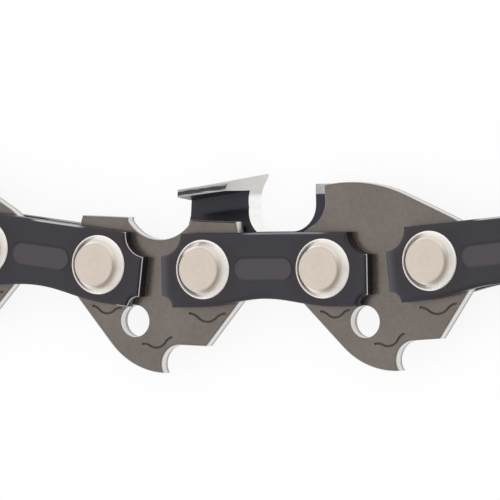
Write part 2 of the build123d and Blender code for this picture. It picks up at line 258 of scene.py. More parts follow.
class ChainColours(bpy.types.PropertyGroup):
    """Colours of the finishes."""

    drive_face: colour("Drive link face", "Stamped steel, flat face", (0.175, 0.151, 0.136))
    drive_wall: colour("Drive link wall", "Sheared steel edge", (0.8, 0.78, 0.76))
    drive_break: colour("Drive link break", "Torn lower part of the sheared edge", (0.4, 0.38, 0.36))
    # Painted shade: the engraved strokes are coloured dark where their recess would be in shade
    engraving: colour("Engraving", "Floor of the engraved strokes", (0.07, 0.058, 0.05))
    oxide: colour("Oxide", "Blue-black oxide on the plates", (0.019, 0.018, 0.022))
    oxide_warm: colour("Warm oxide", "Browner oxide round the rivets", (0.02, 0.014, 0.015))
    # Painted reflection: the slot's floor is coloured lighter than the strap
    slot_floor: colour("Slot floor", "Floor of the pressed slot", (0.057, 0.049, 0.052))
    cutter_oxide: colour("Cutter oxide", "Inside of a cutter", (0.0145, 0.0135, 0.021))
    # Painted shade: a darker colour low inside the tooth
    cutter_low: colour("Cutter shade", "Browner oxide low inside a tooth", (0.005, 0.003, 0.002))
    oxide_gloss: colour("Oxide gloss", "Tint of the oxide's reflections", (0.9, 0.88, 1.0))
    # Painted sheen: the strap's rear end is coloured paler
    oxide_pale: colour("Pale oxide", "Oxide rubbed thin at a strap's rear end", (0.1, 0.095, 0.098))
    # Partly wear, partly painted highlight: bright strap edges
    worn_edge: colour("Worn edge", "Plate edge rubbed bright", (0.72, 0.7, 0.69))
    nickel: colour("Nickel", "Rivet head", (0.61, 0.53, 0.465))
    # Painted sheen: the rivet's flank is coloured lighter than its flat top
    nickel_flank: colour("Nickel flank", "Flank of a rivet head", (0.76, 0.69, 0.61))
    # Painted highlight, on the rim and the crown's edge
    nickel_bright: colour("Bright nickel", "Rubbed rim and crown edge of a rivet", (0.93, 0.91, 0.89))
    # Painted shade: the arc beside the flat top
    nickel_shade: colour("Nickel shade", "Dull arc beside a rivet head's flat top", (0.25, 0.2, 0.165))
    # Painted shade in the groove inside the rim
    nickel_groove: colour("Nickel groove", "Oily groove round a rivet head", (0.6, 0.54, 0.49))
    plating: colour("Plating", "Plated outside of the tooth", (0.44, 0.44, 0.44))
    edge_light: colour("Edge light", "Streaks along the top plate's inner edge", (0.42, 0.42, 0.42))
    edge_dark: colour("Edge dark", "Dark band along the top plate's inner edge", (0.06, 0.06, 0.06))
    ground: colour("Ground steel", "Filed front of the tooth's side", (0.96, 0.95, 0.94))
    ground_top: colour("Ground top", "Filed front of the top plate", (0.66, 0.64, 0.62))
    gauge_tip: colour("Gauge tip", "Ground tip of the depth gauge", (0.48, 0.48, 0.49))
    floor: colour("Floor", "Studio floor", (0.15, 0.15, 0.15))


class ChainStudio(bpy.types.PropertyGroup):
    """Camera and light."""

    camera_distance: length("Camera distance", "Camera to the chain", 700)
    view_width: length("View width", "Width of the picture at the chain", 36.98)
    view_right: length("View right", "Picture centre to the right of the cutter's rear rivet", 2.722)
    view_up: length("View up", "Picture centre above the cutter's rear rivet", 1.398)
    camera_lean: FloatProperty(
        name="Camera lean", description="Camera's lean from straight above, along the chain",
        default=radians(27), subtype="ANGLE",
    )
    camera_pitch: FloatProperty(
        name="Camera pitch", description="Camera's lean from straight above, outwards",
        default=radians(1), subtype="ANGLE",
    )
    camera_roll: FloatProperty(
        name="Camera roll", description="Camera's turn about its own axis",
        default=radians(1), subtype="ANGLE",
    )
    world_light: FloatProperty(
        name="World light", description="Strength of the white surroundings", default=0.9
    )
    key_power: FloatProperty(
        name="Key power", description="Power of the overhead panel", default=0.3, subtype="POWER"
    )


def millimetres(sizes):
    """The lengths of a property group in millimetres, by name."""
    return {key: getattr(sizes, key) / MM for key in sizes.__annotations__}


def rivet_axes():
    """Axis of every rivet round the loop, in metres. The rivet with no joint is opposite another one."""
    axes = {int(joint["name"].rsplit("_", 1)[1]): np.array(joint["pos_m"]) for joint in frame["joints"]}
    count = len(axes) + 1
    for number in set(range(count)) - set(axes):
        axes[number] = axes[(number + count // 2) % count] * (-1, -1, 1)
    return [axes[number] for number in range(count)]


def link_frame(node):
    """Rear rivet of a link in metres, its ways along, across and up, and its rivet spacing in mm."""
    axes = rivet_axes()
    kind, number = node.rsplit("_", 1)
    rear = LINKS_PER_CUTTER * (int(number) - 1) + LINK_ORDER[kind]
    reach = axes[(rear + 1) % len(axes)] - axes[rear]
    along = reach / np.linalg.norm(reach)
    across = np.array((-along[1], along[0], 0))
    return axes[rear], np.array((along, across, (0, 0, 1))), np.linalg.norm(reach) / MM


def nodes_of(*kinds):
    """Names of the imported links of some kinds, in running order."""
    return sorted(node for node in frame["nodes"] if node.rsplit("_", 1)[0] in kinds)


def finish_piece(name, node, own, faces, materials, slot, face_slots=None, start=0):
    """Make a piece from its own points, in millimetres, and let it ride on its link.

    Every point is the rear rivet's axis plus its own x and the piece's start along the link, its y
    across it and its z up. The own coordinates are kept on the mesh as an attribute, which the
    finishes read.
    """
    rear, directions, _ = link_frame(node)
    mesh = bpy.data.meshes.new(name)
    mesh.from_pydata(rear + (own + (start, 0, 0)) @ directions * MM, [], faces)
    mesh.attributes.new("own_mm", "FLOAT_VECTOR", "POINT").data.foreach_set("vector", own.ravel())
    for material in materials:
        mesh.materials.append(material)
    if face_slots is not None:
        mesh.polygons.foreach_set("material_index", face_slots)
    mesh.shade_smooth()
    mesh.set_sharp_from_angle(angle=SHARP_ANGLE)
    mesh.update()
    if mesh.validate():
        raise RuntimeError(f"{name} has a broken mesh")
    piece = bpy.data.objects.new(name, mesh)
    bpy.context.scene.collection.objects.link(piece)
    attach(piece, node)
    return piece


def grid_faces(rows, columns):
    """Quads of a grid of rows by columns whose columns close on themselves."""
    row, column = np.meshgrid(np.arange(rows - 1), np.arange(columns), indexing="ij")
    start, across = row * columns + column, row * columns + (column + 1) % columns
    return np.stack((start, across, across + columns, start + columns), axis=-1).reshape(-1, 4)


def arc_run(centre, radius, start, end, count):
    """Points on an arc: the centre plus the radius at evenly spaced angles, in degrees."""
    angles = np.radians(np.linspace(start, end, count))
    return np.stack((centre[0] + radius * np.cos(angles), centre[1] + radius * np.sin(angles)), axis=1)


def inset_step(path, towards):
    """How each point of a closed anticlockwise path moves for an inset of one millimetre.

    It moves straight its own way, by one over the cosine between that way and the inward normal of its
    two edges, whichever leans away more. So the edges move in evenly.
    """
    edge = np.roll(path, -1, axis=0) - path
    edge /= np.linalg.norm(edge, axis=1, keepdims=True)
    after = np.stack((-edge[:, 1], edge[:, 0]), axis=1)
    towards = towards / np.linalg.norm(towards, axis=1, keepdims=True)
    normals = after, np.roll(after, 1, axis=0)
    cosines = [np.sum(normal * towards, axis=1, keepdims=True) for normal in normals]
    return towards / np.clip(np.minimum(*cosines), LEAST_COSINE, None)


def strap_path(size, spacing):
    """Outline of a tie strap, anticlockwise: two flat feet, straight ends and notched corners.

    Between the feet the outline rises in one cosine wave. With each point comes the diagonal way in
    from its notch, or zero where it is in no notch.
    """
    left, right = -size["strap_overhang"], spacing + size["strap_overhang"]
    top, foot = size["strap_top"], -size["strap_foot"]
    notch, foot_notch = size["strap_notch"], size["foot_notch"]
    half = spacing / 2 + size["strap_overhang"] - foot_notch
    across = np.linspace(-half, half, ARCH_POINTS)[1:-1]
    wave = np.cos(np.pi * np.clip(across / size["arch_reach"], -1, 1))
    arch = np.stack((spacing / 2 + across, foot + size["strap_arch"] * (1 + wave) / 2), axis=1)
    edge = np.linspace(right - notch, left + notch, TOP_EDGE_POINTS)[1:-1]
    runs = (
        (arch, (0, 0)),
        (arc_run((right, foot), foot_notch, 180, 90, FOOT_NOTCH_POINTS), (-1, 1)),
        (arc_run((right, top), notch, 270, 180, NOTCH_POINTS), (-1, -1)),
        (np.stack((edge, np.full_like(edge, top)), axis=1), (0, 0)),
        (arc_run((left, top), notch, 360, 270, NOTCH_POINTS), (1, -1)),
        (arc_run((left, foot), foot_notch, 90, 0, FOOT_NOTCH_POINTS), (1, 1)),
    )
    diagonal = [np.tile(way, (len(run), 1)) for run, way in runs]
    return np.concatenate([run for run, _ in runs]), np.concatenate(diagonal)


def strap_surface(size, spacing):
    """Points and faces of an upper tie strap.

    A profile is carried round the outline: up the wall, round its corner, up the rolled edge, in along
    the flat face to the pressed slot and down its slope. The rolled edge drops with the square of the
    way out from where it starts. A row of the slot is its middle line plus a radius towards the
    outline, and its slope is a smooth step. The points of a notch move in along its diagonal and all
    others towards the slot's middle line, so rows never cross. One flat face closes each end of the
    profile.
    """
    path, diagonal = strap_path(size, spacing)
    inner, outer, corner = size["plate_inner"], size["plate_outer"], size["edge_round"]
    width, drop = size["roll_width"], size["roll_depth"]
    radius, depth, slope = size["recess_width"] / 2, size["recess_depth"], size["recess_slope"]
    half = size["recess_length"] / 2 - radius
    along = np.clip(path[:, 0], spacing / 2 - half, spacing / 2 + half)
    middle = np.stack((along, np.zeros(len(path))), axis=1)
    step = inset_step(path, np.where(diagonal.any(axis=1, keepdims=True), diagonal, middle - path))
    turn = np.linspace(0, np.pi / 2 - np.arctan(2 * drop / width), CORNER_POINTS)
    start = corner * (1 - np.cos(turn[-1]))
    wall_top = outer - drop - corner * np.sin(turn[-1])
    rows = [(path + step * corner / 2, inner), (path, inner + corner / 2)]
    rows += [(path + step * corner * (1 - np.cos(a)), wall_top + corner * np.sin(a)) for a in turn]
    for t in ROLL_STEPS:
        rows.append((path + step * (start + (width - start) * t), outer - drop * (1 - t) ** 2))
    outwards = (path - middle) / np.linalg.norm(path - middle, axis=1, keepdims=True)
    for t in SLOT_STEPS:
        sunk = np.clip(t, 0, 1)
        row = middle + outwards * (radius + slope * (0.5 - t))
        rows.append((row, outer - depth * sunk**2 * (3 - 2 * sunk)))
    points = np.concatenate([np.column_stack((row, np.full(len(row), z))) for row, z in rows])
    count = len(path)
    faces = grid_faces(len(rows), count).tolist()
    last = (len(rows) - 1) * count
    faces.append(list(range(count - 1, -1, -1)))
    faces.append(list(range(last, last + count)))
    return points, faces


def turned_over(points, faces):
    """A surface mirrored to the other side of the middle plane, with its faces turned round again."""
    return points * (1, 1, -1), [list(reversed(face)) for face in faces]


def rivet_profile(size):
    """Radius and height of a rivet's upper half, from the middle plane out and up to the crown.

    The rim is a quarter ellipse, with a narrow groove inside it. On the flank the drop below the crown
    grows with a power of the way out from the flat top, and a sine wave ripples it. The top sinks with
    the square of its radius.
    """
    inner, outer = size["plate_inner"], size["plate_outer"]
    crown, head, flat = outer + size["head_height"], size["head_radius"], size["head_flat"]
    wide, tall, groove = size["rim_width"], size["rim_height"], size["rim_groove"]
    bearing, hub = size["bearing_radius"], size["hub_radius"]
    under = head - RIM_UNDERCUT * wide
    shaft = np.array(((bearing, 0), (bearing, inner), (hub, inner), (hub, outer), (under, outer)))
    turn = np.linspace(0, np.pi / 2, RIM_POINTS)
    rise = RIM_FOOT + (1 - RIM_FOOT) * np.sin(turn)
    rim = np.stack((head - wide + wide * np.cos(turn), outer + tall * rise), axis=1)
    out = np.linspace(1, 0, FLANK_POINTS)
    drop = (size["head_height"] - tall + groove) * out**FLANK_POWER
    drop += size["flank_ripple"] * np.sin(FLANK_RINGS * 2 * np.pi * out) * np.sin(np.pi * out)
    flank = np.stack((flat + (head - wide - groove - flat) * out, crown - drop), axis=1)
    radius = np.linspace(flat, 0, CROWN_POINTS)[1:-1]
    top = np.stack((radius, crown - size["head_dish"] * (1 - (radius / flat) ** 2)), axis=1)
    return np.concatenate((shaft, rim, flank, top)), crown - size["head_dish"]


def rivet_surface(size, segments=56):
    """Points and faces of a rivet: its profile and the profile's mirror image, turned about the axis."""
    half, crown = rivet_profile(size)
    profile = np.concatenate((half[:0:-1] * (1, -1), half))
    angle = np.linspace(0, 2 * np.pi, segments, endpoint=False)
    radius, height = profile[:, :1], profile[:, 1:]
    grid = np.stack((radius * np.cos(angle), radius * np.sin(angle), height + 0 * angle), axis=-1)
    points = np.concatenate((grid.reshape(-1, 3), ((0, 0, -crown), (0, 0, crown))))
    faces = grid_faces(len(profile), segments).tolist()
    low, high = len(points) - 2, len(points) - 1
    last = (len(profile) - 1) * segments
    faces += [[low, (i + 1) % segments, i] for i in range(segments)]
    faces += [[high, last + i, last + (i + 1) % segments] for i in range(segments)]
    return points, faces


def packed_solids(node):
    """The separate solids of a packed link as points in its own frame, in millimetres, and triangles.

    Equal points are merged. Triangles that share a point belong to one solid: every point takes the
    lowest number that its triangles hold, until nothing changes.
    """
    mesh = frame["nodes"][node].data
    corners = np.empty(len(mesh.loops), dtype=np.int32)
    mesh.loops.foreach_get("vertex_index", corners)
    places = np.empty(3 * len(mesh.vertices), dtype=np.float32)
    mesh.vertices.foreach_get("co", places)
    points, merged = np.unique(places.reshape(-1, 3), axis=0, return_inverse=True)
    triangles = merged.ravel()[corners].reshape(-1, 3)
    whole = (triangles != np.roll(triangles, 1, axis=1)).all(axis=1)
    triangles = triangles[whole]
    group = np.arange(len(points))
    while True:
        lowest = group.copy()
        np.minimum.at(lowest, triangles, group[triangles].min(axis=1, keepdims=True))
        lowest = lowest[lowest]
        if (lowest == group).all():
            break
        group = lowest
    rear, directions, _ = link_frame(node)
    own = (points - rear) @ directions.T / MM
    for label in np.unique(group[triangles]):
        used, local = np.unique(triangles[group[triangles[:, 0]] == label], return_inverse=True)
        yield own[used], local.reshape(-1, 3)


class Finish:
    """Nodes of a new material, or of a given tree. Each method adds a node and gives its output."""

    def __init__(self, name, tree=None):
        if tree is None:
            self.material = bpy.data.materials.new(name)
            self.material.use_nodes = True
            tree = self.material.node_tree
        self.tree = tree
        self.tree.nodes.clear()

    def feed(self, socket, value):
        """Link an output to a socket, or set the socket to a constant."""
        if isinstance(value, bpy.types.NodeSocket):
            self.tree.links.new(value, socket)
        else:
            socket.default_value = value

    def node(self, kind, *inputs, **settings):
        """A node with its settings, and its first inputs fed in order."""
        node = self.tree.nodes.new("ShaderNode" + kind)
        for key, value in settings.items():
            setattr(node, key, value)
        for socket, value in zip(node.inputs, inputs):
            self.feed(socket, value)
        return node

    def own(self):
        """The piece's own coordinates, in millimetres."""
        return self.node("Attribute", attribute_name="own_mm").outputs["Vector"]

    def place(self):
        """Object coordinates, in millimetres."""
        where = self.node("TexCoord").outputs["Object"]
        mapping = self.node("Mapping", where)
        mapping.inputs["Scale"].default_value = (1 / MM, 1 / MM, 1 / MM)
        return mapping.outputs[0]

    def split(self, vector):
        """The three parts of a vector."""
        return self.node("SeparateXYZ", vector).outputs

    def math(self, operation, *values):
        """A sum worked out on numbers."""
        return self.node("Math", *values, operation=operation).outputs[0]

    def product(self, first, *others):
        """Shares multiplied together."""
        for share in others:
            first = self.math("MULTIPLY", first, share)
        return first

    def distance(self, first, second):
        """Square root of the sum of two squares."""
        squares = [self.math("POWER", value, 2.0) for value in (first, second)]
        return self.math("SQRT", self.math("ADD", *squares))

    def ramp(self, value, start, end):
        """0 at start, 1 at end and a smooth rise between."""
        node = self.node("MapRange", value, start, end, interpolation_type="SMOOTHSTEP", clamp=True)
        return node.outputs[0]

    def band(self, value, middle, outside, inside):
        """1 where a value is within inside of a middle, 0 from outside on and a smooth fall between."""
        away = self.math("ABSOLUTE", self.math("SUBTRACT", value, middle))
        return self.ramp(away, outside, inside)

    def between(self, value, low, high):
        """From low to high as the value goes from 0 to 1."""
        return self.node("MapRange", value, 0.0, 1.0, low, high).outputs[0]

    def noise(self, vector, scale, detail=3.0, stretch=(1, 1, 1)):
        """Cloudy noise between 0 and 1, with scale features in each millimetre."""
        mapping = self.node("Mapping", vector)
        mapping.inputs["Scale"].default_value = stretch
        node = self.node("TexNoise", mapping.outputs[0])
        node.inputs["Scale"].default_value = scale
        node.inputs["Detail"].default_value = detail
        return node.outputs[0]

    def mix(self, share, first, second):
        """Two colours mixed by a share. The node's colours are its inputs 6 and 7 and its output 2."""
        node = self.tree.nodes.new("ShaderNodeMix")
        node.data_type = "RGBA"
        for number, value in ((0, share), (6, first), (7, second)):
            self.feed(node.inputs[number], (*value, 1) if isinstance(value, tuple) else value)
        return node.outputs[2]

    def shade(self, base, value, spread):
        """A colour made darker or lighter by up to a spread, as the value goes from 0 to 1."""
        node = self.node("VectorMath", operation="SCALE")
        self.feed(node.inputs[0], base)
        self.feed(node.inputs["Scale"], self.between(value, 1 - spread, 1 + spread))
        return node.outputs[0]

    def bump(self, height, depth):
        """A surface normal roughened by a height, with its depth in millimetres."""
        node = self.node("Bump")
        node.inputs["Distance"].default_value = depth * MM
        self.feed(node.inputs["Height"], height)
        return node.outputs[0]

    def surface(self, base, roughness, normal, metallic=1.0, gloss=(1, 1, 1)):
        """The surface itself: bare metal, or a coating whose reflections have a tint."""
        shader = self.node("BsdfPrincipled")
        self.feed(shader.inputs["Base Color"], base)
        self.feed(shader.inputs["Roughness"], roughness)
        self.feed(shader.inputs["Normal"], normal)
        shader.inputs["Metallic"].default_value = metallic
        shader.inputs["Specular Tint"].default_value = (*gloss, 1)
        output = self.node("OutputMaterial", shader.outputs[0])
        output.is_active_output = True
        return self.material


def palette():
    """The colours of the finishes, by name."""
    colours = bpy.context.scene.chain_colours
    return {key: tuple(getattr(colours, key)) for key in colours.__annotations__}


def facing_up(finish):
    """How flat a surface lies: 1 on a level face and 0 on an upright wall."""
    normal = finish.node("NewGeometry").outputs["True Normal"]
    return finish.math("ABSOLUTE", finish.split(normal)[2])


def drive_link_finish(colours, middle, engraving_floor):
    """Satin stamped steel with a blotchy grain, bright walls torn below, and engraved strokes coloured
    dark as painted shade.
    """
    finish = Finish("drive_link_steel")
    place = finish.place()
    grain = finish.noise(place, scale=3.5, detail=6.0)
    cloud = finish.noise(place, scale=0.35, detail=2.0)
    face = finish.shade(finish.shade(colours["drive_face"], grain, spread=0.2), cloud, spread=0.15)
    height = finish.split(place)[2]
    sunk = finish.math("LESS_THAN", height, engraving_floor)
    up = finish.split(finish.node("NewGeometry").outputs["True Normal"])[2]
    engraved = finish.product(sunk, finish.math("GREATER_THAN", up, FLAT_LEVEL))
    # Painted shade: the engraved strokes' floor takes a dark colour
    face = finish.mix(engraved, face, colours["engraving"])
    torn = finish.ramp(height, middle + SHEARED_END, middle + TORN_START)
    wall = finish.mix(torn, colours["drive_wall"], colours["drive_break"])
    wall = finish.shade(wall, grain, spread=0.1)
    # Painted shade: the engraved strokes' walls take the same dark colour
    wall = finish.mix(finish.math("GREATER_THAN", height, engraving_floor), wall, colours["engraving"])
    base = finish.mix(finish.ramp(facing_up(finish), *WALL_LEVEL), face, wall)
    roughness = finish.between(grain, low=0.22, high=0.34)
    return finish.surface(base, roughness, finish.bump(grain, depth=0.004), metallic=0.75)


def strap_finish(name, colours, size, spacing, start, end, on_top_edge, in_notches):
    """Glossy blue-black oxide, browner round the rivets.

    The pressed slot is lighter, a painted reflection, with a line of painted shade above it and round
    its front end. The walls are darkened with painted shade, and the rear end is painted paler as a
    sheen. The front end and a stretch of the top edge are bright, partly wear and partly painted
    highlight, and so may be the notches at the front.
    """
    finish = Finish(name)
    own = finish.own()
    x, y, _ = finish.split(own)
    grain = finish.noise(own, scale=5.0, detail=4.0)
    cloud = finish.noise(own, scale=0.5, detail=2.0)
    off_middle = finish.math("SUBTRACT", x, spacing / 2)
    each_way = finish.math("ABSOLUTE", off_middle)
    from_rivet = finish.distance(finish.math("SUBTRACT", each_way, spacing / 2), y)
    base = finish.mix(finish.ramp(from_rivet, *WARM_RING), colours["oxide"], colours["oxide_warm"])
    base = finish.shade(finish.shade(base, grain, spread=0.15), cloud, spread=0.15)
    radius = size["recess_width"] / 2
    half = size["recess_length"] / 2 - radius
    past_end = finish.math("MAXIMUM", finish.math("SUBTRACT", each_way, half), 0.0)
    off = finish.distance(past_end, y)
    slot = finish.ramp(off, radius + SLOT_EDGE, radius - SLOT_EDGE)
    # Painted reflection: the slot's floor is lighter
    base = finish.mix(slot, base, finish.shade(colours["slot_floor"], grain, spread=0.1))
    # Painted shade: a dark line round the slot's front end and above it
    line = finish.band(off, radius + SLOT_EDGE, *SLOT_SHADE_LINE)
    front_end = finish.ramp(off_middle, half, half + radius)
    above = finish.product(finish.ramp(y, SLOT_SHADE_START, radius), SHADE_LINE_ABOVE)
    base = finish.mix(finish.product(line, finish.math("MAXIMUM", front_end, above)), base, SHADE_BLACK)
    rear, front, top = -size["strap_overhang"], spacing + size["strap_overhang"], size["strap_top"]
    # Painted sheen: the rear end is paler
    painted_sheen = finish.product(finish.ramp(x, *(rear + reach for reach in REAR_SHEEN)), REAR_SHEEN_SHARE)
    base = finish.mix(painted_sheen, base, colours["oxide_pale"])
    level = facing_up(finish)
    # Painted shade: walls darkened towards black
    base = finish.mix(finish.product(finish.ramp(level, *STRAP_WALL_LEVEL), WALL_PAINTED_SHADE), base, SHADE_BLACK)
    # Bright front and top edges: partly wear, partly painted highlight where light catches them
    corner = front - size["strap_notch"]
    notches = finish.product(finish.ramp(x, corner - NOTCH_FADE, corner), in_notches)
    at_front = finish.math("MAXIMUM", finish.ramp(x, *(front - reach for reach in FRONT_WEAR_AND_HIGHLIGHT)), notches)
    at_front = finish.product(at_front, finish.ramp(level, *FRONT_ROLL_LEVEL))
    on_top = finish.product(
        finish.ramp(y, *(top - reach for reach in TOP_WEAR_AND_HIGHLIGHT)),
        finish.ramp(x, start - STRETCH_FADE, start + STRETCH_FADE),
        finish.ramp(x, end + STRETCH_FADE, end - STRETCH_FADE),
        finish.ramp(level, *TOP_ROLL_LEVEL),
        on_top_edge,
    )
    worn_and_highlit = finish.math("MAXIMUM", at_front, on_top)
    bare = finish.product(finish.ramp(level, *ROUNDED_LEVEL), worn_and_highlit)
    base = finish.mix(bare, base, colours["worn_edge"])
    roughness = finish.between(grain, low=0.24, high=0.36)
    bump = finish.bump(grain, depth=0.002)
    return finish.surface(base, roughness, bump, metallic=0.0, gloss=colours["oxide_gloss"])


def cutter_finish(colours, spacing):
    """Glossy dark oxide on a cutter's plate, with painted shade low inside the tooth and the tip of the
    depth gauge ground bright.
    """
    finish = Finish("cutter_oxide")
    own = finish.own()
    x, y, _ = finish.split(own)
    grain = finish.noise(own, scale=5.0, detail=4.0)
    cloud = finish.noise(own, scale=0.6, detail=2.0)
    base = finish.shade(finish.shade(colours["cutter_oxide"], grain, spread=0.3), cloud, spread=0.3)
    # Painted shade: darker low inside the tooth
    low = finish.product(finish.ramp(y, *SHADE_HEIGHT), finish.ramp(x, *SHADE_FRONT))
    base = finish.mix(low, base, colours["cutter_low"])
    ground = finish.ramp(y, GAUGE_TIP, GAUGE_TIP + GAUGE_TIP_EDGE)
    tip = finish.product(ground, finish.math("GREATER_THAN", x, spacing / 2))
    marks = finish.noise(own, scale=2.5, detail=5.0)
    base = finish.mix(tip, base, finish.shade(colours["gauge_tip"], marks, spread=0.5))
    roughness = finish.between(grain, low=0.26, high=0.4)
    bump = finish.bump(grain, depth=0.003)
    return finish.surface(base, roughness, bump, metallic=0.0, gloss=colours["oxide_gloss"])


def rivet_finish(colours, size):
    """Pale nickel with fine turned rings, painted lighter on the flank and with a painted highlight
    towards the rim.

    An arc of painted shade lies beside the flat top, towards the front, and painted shade in the groove
    inside the rim, towards the rear. A painted highlight lies on the crown's edge, towards the rear.
    """
    finish = Finish("rivet_nickel")
    own = finish.own()
    x, y, z = finish.split(own)
    radius = finish.distance(x, y)
    cloud = finish.noise(own, scale=0.8, detail=2.0)
    rings = finish.noise(finish.node("CombineXYZ", radius, z).outputs[0], scale=9.0)
    flat, groove = size["head_flat"], size["rim_groove"]
    rim = size["head_radius"] - size["rim_width"]
    # Painted sheen: the flank is lighter than the flat top
    beside = finish.ramp(radius, flat, flat + FLAT_EDGE)
    base = finish.mix(beside, colours["nickel"], colours["nickel_flank"])
    # Painted highlight on the crown's edge towards the rear and on the flank towards the rim
    crown = finish.band(radius, flat + CROWN_EDGE, *CROWN_HIGHLIGHT_BAND)
    crown = finish.product(crown, finish.ramp(x, *CROWN_HIGHLIGHT_REAR))
    painted_sheen = finish.math("MAXIMUM", crown, finish.ramp(radius, flat + FLANK_HIGHLIGHT, rim))
    base = finish.mix(painted_sheen, base, colours["nickel_bright"])
    # Painted shade: a dark arc beside the flat top, towards the front
    towards = finish.math("ADD", *(finish.product(*pair) for pair in zip((x, y), SHADE_ARC_WAY)))
    arc = finish.band(radius, flat + FLAT_EDGE, *SHADE_ARC_BAND)
    shade_arc = finish.product(arc, finish.ramp(towards, *SHADE_ARC_FRONT), SHADE_ARC_SHARE)
    base = finish.mix(shade_arc, base, colours["nickel_shade"])
    # Painted shade in the groove inside the rim, towards the rear
    rim_top = size["plate_outer"] + size["rim_height"]
    above_rim = finish.math("SUBTRACT", finish.math("ABSOLUTE", z), rim_top)
    low = finish.product(finish.ramp(above_rim, *GROOVE_FADE), finish.ramp(x, *GROOVE_REAR))
    groove_shade = finish.product(finish.band(radius, rim - groove / 2, 2 * groove, groove), low)
    base = finish.mix(groove_shade, base, colours["nickel_groove"])
    base = finish.shade(finish.shade(base, cloud, spread=0.06), rings, spread=0.08)
    roughness = finish.between(finish.ramp(radius, flat, flat + FLANK_BLUR), low=0.18, high=0.32)
    return finish.surface(base, roughness, finish.bump(rings, depth=0.001))


def plating_finish(colours):
    """Satin plating on the outside of a tooth, drawn in streaks along it."""
    finish = Finish("tooth_plating")
    streak = finish.noise(finish.own(), scale=3.0, detail=4.0, stretch=(0.3, 2.0, 2.0))
    base = finish.shade(colours["plating"], streak, spread=0.25)
    return finish.surface(base, roughness=0.35, normal=finish.bump(streak, depth=0.003))


def inner_edge_finish(colours):
    """Sheared inner edge of the top plate: a dark band between light lines, streaked along the tooth."""
    finish = Finish("tooth_inner_edge")
    own = finish.own()
    x, y, _ = finish.split(own)
    line = TOOTH_HEEL, TOOTH_FRONT, INNER_EDGE_HEEL, INNER_EDGE_FRONT
    upper = finish.node("MapRange", x, *line).outputs[0]
    down = finish.math("DIVIDE", finish.math("SUBTRACT", upper, y), INNER_EDGE_HEIGHT)
    streak = finish.noise(own, scale=4.0, detail=4.0, stretch=(0.15, 2.5, 2.5))
    shifted = finish.math("ADD", down, finish.between(streak, -EDGE_WANDER, EDGE_WANDER))
    dark = finish.product(finish.ramp(shifted, *EDGE_BAND_START), finish.ramp(shifted, *EDGE_BAND_END))
    base = finish.mix(dark, colours["edge_light"], colours["edge_dark"])
    base = finish.shade(base, streak, spread=0.3)
    return finish.surface(base, roughness=0.35, normal=finish.bump(streak, depth=0.003))


def ground_finish(colours):
    """Filed steel with fine file marks, greyer on the top plate than on the side."""
    finish = Finish("tooth_ground_steel")
    own = finish.own()
    marks = finish.noise(own, scale=5.0, stretch=(0.2, 4.0, 0.2))
    height = finish.split(own)[1]
    on_top = finish.ramp(height, TOP_PLATE_UNDERSIDE, TOP_PLATE_UNDERSIDE + GROUND_TOP_EDGE)
    base = finish.mix(on_top, colours["ground"], colours["ground_top"])
    base = finish.shade(base, marks, spread=0.15)
    return finish.surface(base, roughness=0.3, normal=finish.bump(marks, depth=0.003))


def cutter_side(node):
    """Side on which a side link carries its cutter: -1 below, 1 above, 0 for two straps."""
    return {"left_cutter_link": -1, "right_cutter_link": 1, "tie_strap_link": 0}[node.rsplit("_", 1)[0]]


def side_nodes():
    """Names of all side links."""
    return nodes_of("left_cutter_link", "right_cutter_link", "tie_strap_link")


def node_slot(node):
    """The record's finish for a side link."""
    return "cutter_steel" if cutter_side(node) else "tie_strap_steel"


class CHAIN_OT_drive_links(bpy.types.Operator):
    """Give the drive links their stamped steel"""

    bl_idname = "chain.drive_links"
    bl_label = "Drive links"

    def execute(self, context):
        middle = rivet_axes()[0][2] / MM
        steel = drive_link_finish(palette(), middle, middle + ENGRAVING_FLOOR)
        for node in nodes_of("plain_drive_link", "bumper_drive_link"):
            mesh = frame["nodes"][node].data
            mesh.materials.clear()
            mesh.materials.append(steel)
        return {"FINISHED"}


class CHAIN_OT_tie_straps(bpy.types.Operator):
    """Make the tie straps of the side links"""

    bl_idname = "chain.tie_straps"
    bl_label = "Tie straps"

    def execute(self, context):
        size = millimetres(context.scene.chain_sizes)
        _, _, spacing = link_frame(side_nodes()[0])
        wears_and_highlights = zip(("strap_oxide", "cutter_strap_oxide"), STRAP_WEAR_AND_HIGHLIGHT)
        oxides = [strap_finish(name, palette(), size, spacing, *wear_and_highlight) for name, wear_and_highlight in wears_and_highlights]
        upper = strap_surface(size, spacing)
        lower = turned_over(*upper)
        for node in side_nodes():
            for side, word, surface in ((1, "upper", upper), (-1, "lower", lower)):
                if cutter_side(node) != side:
                    oxide = oxides[abs(cutter_side(node))]
                    name = f"{node}_{word}_strap"
                    strap = finish_piece(name, node, *surface, [oxide], node_slot(node))
                    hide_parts(node)
        return {"FINISHED"}


class CHAIN_OT_rivets(bpy.types.Operator):
    """Make the two rivets of each side link"""

    bl_idname = "chain.rivets"
    bl_label = "Rivets"

    def execute(self, context):
        size = millimetres(context.scene.chain_sizes)
        points, faces = rivet_surface(size)
        nickel = rivet_finish(palette(), size)
        for node in side_nodes():
            _, _, spacing = link_frame(node)
            for word, x in (("rear", 0), ("front", spacing)):
                name = f"{node}_{word}_rivet"
                finish_piece(name, node, points, faces, [nickel], node_slot(node), start=x)
        return {"FINISHED"}


